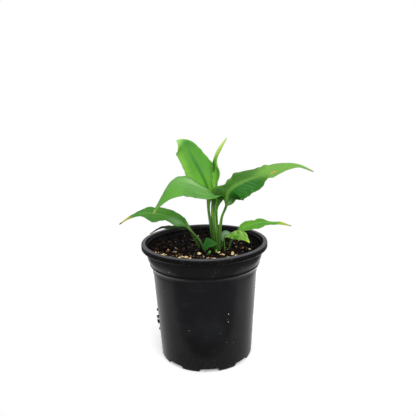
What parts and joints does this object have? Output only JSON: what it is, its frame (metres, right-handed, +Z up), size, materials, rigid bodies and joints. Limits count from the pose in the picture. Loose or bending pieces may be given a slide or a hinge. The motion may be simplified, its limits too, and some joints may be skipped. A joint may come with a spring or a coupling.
{
  "type": "potted peace lily",
  "caption": "Young peace lily with arching wavy-edged leaves on slim stalks, growing in potting mix in a black round nursery pot with drainage notches.",
  "frame": {"origin": "centre of the pot's flat underside, on the pot's axis", "axes": "+Z up along the pot's axis and the plant's height, +X towards the long right-hand leaf, -Y towards the front, where the arching leaf hangs"},
  "size_m": [0.1692, 0.1132, 0.1976],
  "materials": {
    "pot_plastic": "black moulded plastic with a dull sheen and fine scuffs",
    "potting_mix": "damp dark bark and peat crumbs with pale wood chips",
    "leaf_bright": "fresh bright green leaf with a satin surface",
    "leaf_deep": "deep green leaf with a satin surface",
    "leaf_mottled": "yellow and green mottled leaf with a satin surface"
  },
  "bodies": {
    "root": {"pot": "pot_plastic", "potting_mix": "potting_mix", "leaf_upright": "leaf_bright", "leaf_spear": "leaf_bright", "leaf_arching": "leaf_bright", "leaf_long": "leaf_deep", "leaf_low_left": "leaf_deep", "leaf_shaded": "leaf_deep", "leaf_low_right": "leaf_bright", "leaf_mottled": "leaf_mottled", "leaf_folded": "leaf_deep", "leaf_back": "leaf_deep", "bud_left": "leaf_bright", "bud_front": "leaf_bright"}
  },
  "joints": []
}
